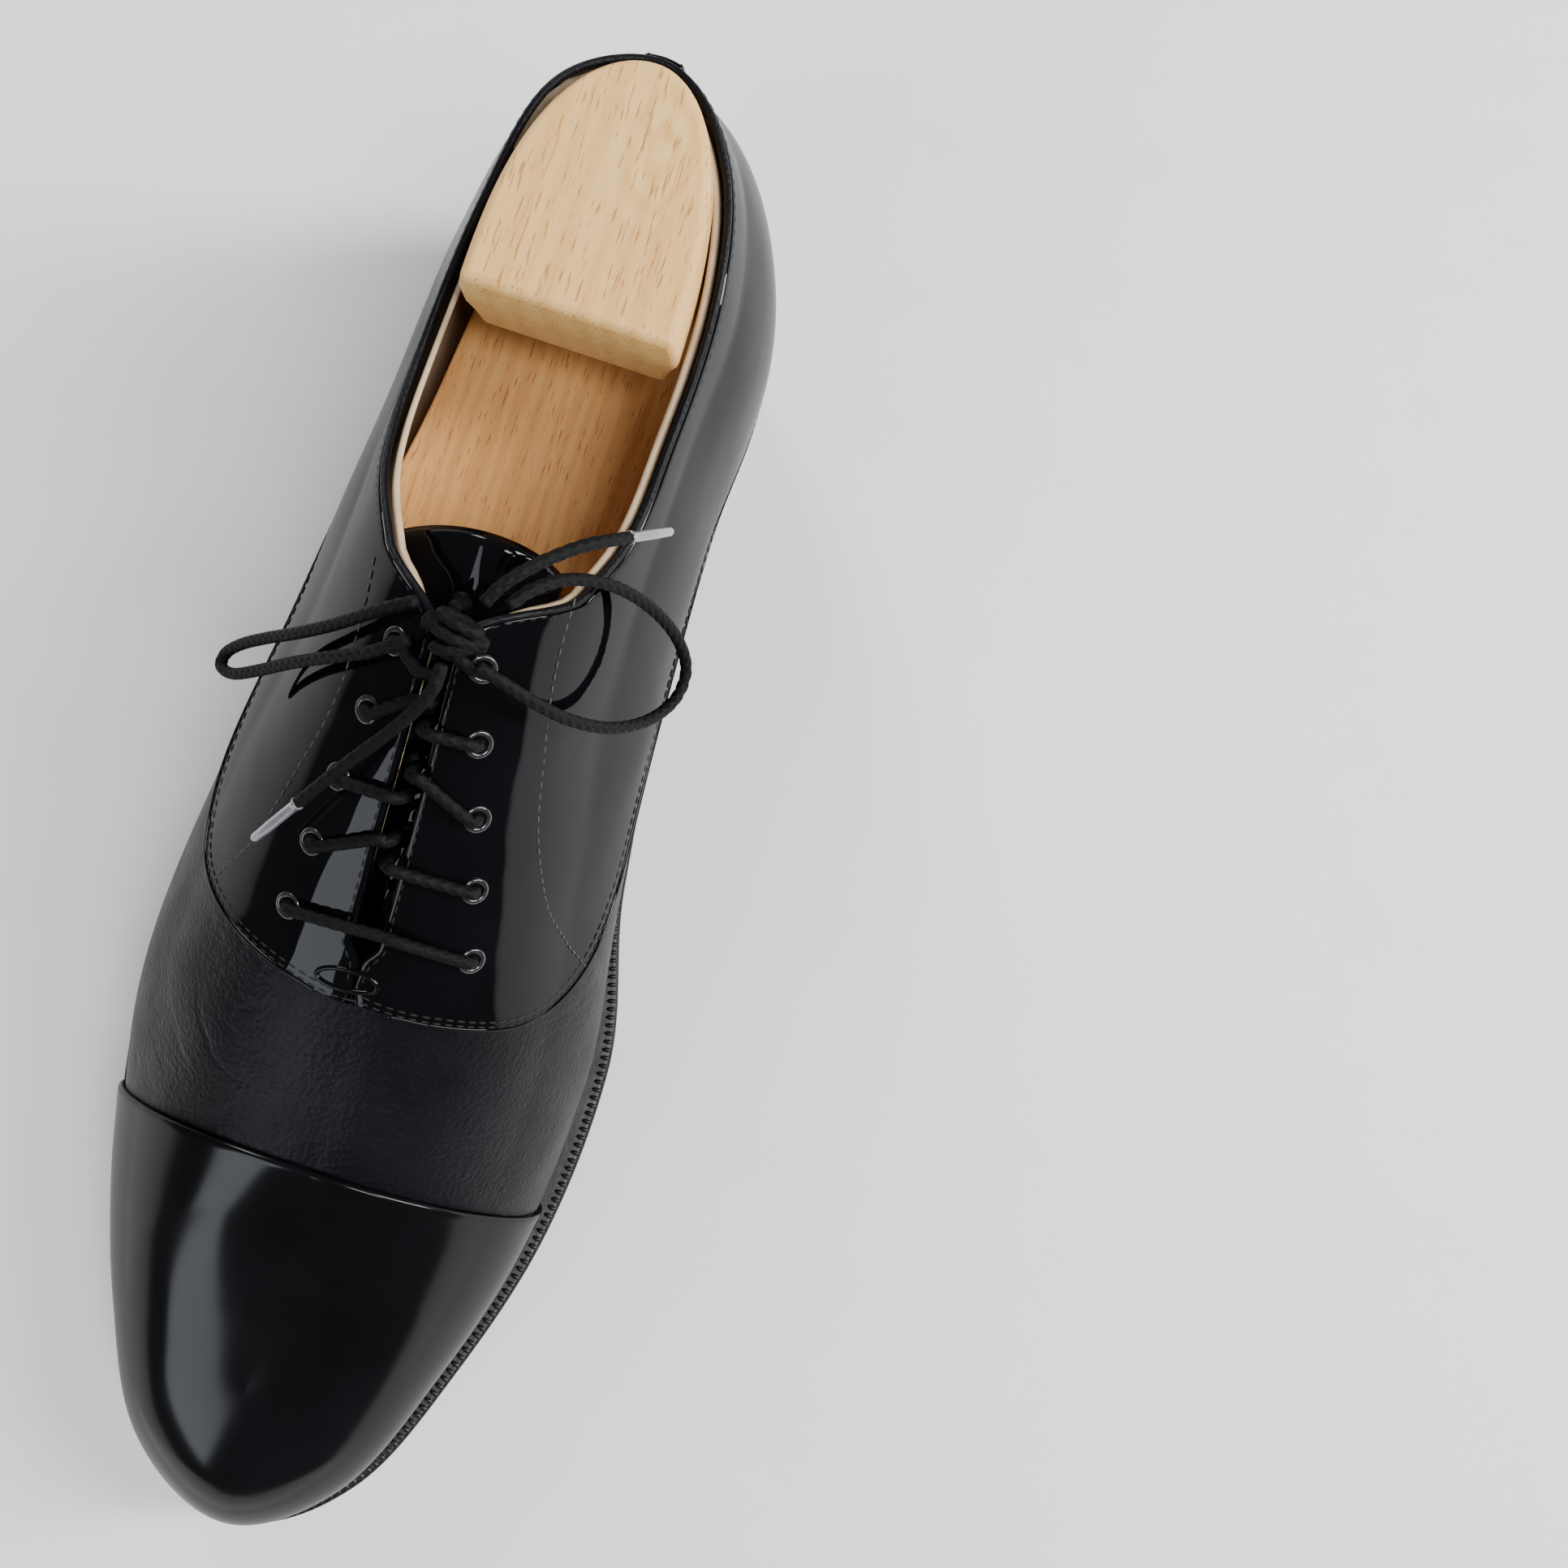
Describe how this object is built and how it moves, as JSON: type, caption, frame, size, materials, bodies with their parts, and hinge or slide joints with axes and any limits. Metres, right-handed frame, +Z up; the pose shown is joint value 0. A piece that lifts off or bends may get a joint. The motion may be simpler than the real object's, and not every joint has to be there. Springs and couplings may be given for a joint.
{
  "type": "tap shoe",
  "caption": "Black cap-toe lace-up tap shoe in polished and patent leather, with metal toe and heel taps, tied round laces and a hinged wooden shoe tree inside",
  "frame": {"origin": "on the ground under the middle of the shoe, measured without its lace", "axes": "+X to the toe, +Y to the inner side of this right foot, +Z up"},
  "size_m": [0.3028, 0.103, 0.1168],
  "materials": {
    "patent_leather": "mirror-bright black patent",
    "polished_leather": "black calf, polished to a gloss",
    "calf_leather": "satin black calf with fine grain",
    "lining_leather": "matte tan",
    "insole_leather": "matte natural",
    "edge_leather": "satin black edge dressing",
    "sole_rubber": "matte, fine texture",
    "filler_cork": "matte cork",
    "stiffener_fabric": "matte woven",
    "tap_metal": "satin cast",
    "hardware_steel": "satin",
    "eyelet_metal": "dark nickel",
    "lace_cord": "matte waxed braid",
    "aglet_plastic": "clear, glossy",
    "pale_wood": "sanded pale cream",
    "warm_wood": "sanded warm tan"
  },
  "bodies": {
    "shoe": {"outsole": "edge_leather", "welt": "edge_leather", "heel_rand": "edge_leather", "cork_filler": "filler_cork", "shank": "hardware_steel", "insole": "insole_leather", "sock_liner": "lining_leather", "heel_top_piece": "sole_rubber", "heel_lift_2": "edge_leather", "heel_lift_1": "edge_leather", "heel_tap": "tap_metal", "toe_tap": "tap_metal", "toe_tap_screw_1": "hardware_steel", "toe_tap_screw_2": "hardware_steel", "toe_tap_screw_3": "hardware_steel", "heel_tap_screw_1": "hardware_steel", "heel_tap_screw_2": "hardware_steel", "heel_tap_screw_3": "hardware_steel", "ball_pad": "sole_rubber", "toe_cap": "polished_leather", "toe_puff": "stiffener_fabric", "vamp": "calf_leather", "quarter_medial": "patent_leather", "facing_stay_medial": "stiffener_fabric", "quarter_lateral": "patent_leather", "facing_stay_lateral": "stiffener_fabric", "heel_counter": "stiffener_fabric", "back_strip": "patent_leather", "quarter_lining": "lining_leather", "vamp_lining": "stiffener_fabric", "tongue": "patent_leather", "topline_binding": "calf_leather", "eyelet_medial_1": "eyelet_metal", "eyelet_lateral_1": "eyelet_metal", "eyelet_medial_2": "eyelet_metal", "eyelet_lateral_2": "eyelet_metal", "eyelet_medial_3": "eyelet_metal", "eyelet_lateral_3": "eyelet_metal", "eyelet_medial_4": "eyelet_metal", "eyelet_lateral_4": "eyelet_metal", "eyelet_medial_5": "eyelet_metal", "eyelet_lateral_5": "eyelet_metal", "lace_medial_half": "lace_cord", "lace_lateral_half": "lace_cord", "lace_knot": "lace_cord", "lace_medial_loop": "lace_cord", "lace_lateral_loop": "lace_cord", "lace_medial_end": "lace_cord", "lace_lateral_end": "lace_cord", "aglet_medial": "aglet_plastic", "aglet_lateral": "aglet_plastic", "tree_board": "warm_wood", "tree_forepart": "warm_wood", "hinge_leaf_board": "hardware_steel", "hinge_pin": "hardware_steel"},
    "tree_heel": {"tree_heel_block": "pale_wood", "hinge_leaf_block": "hardware_steel"}
  },
  "joints": [
    {"name": "tree_heel_hinge", "type": "hinge", "parent": "shoe", "child": "tree_heel", "pos_m": [-0.10416, 0.00683, 0.063], "axis": [0, 1, 0], "range_deg": [0, 50]}
  ]
}
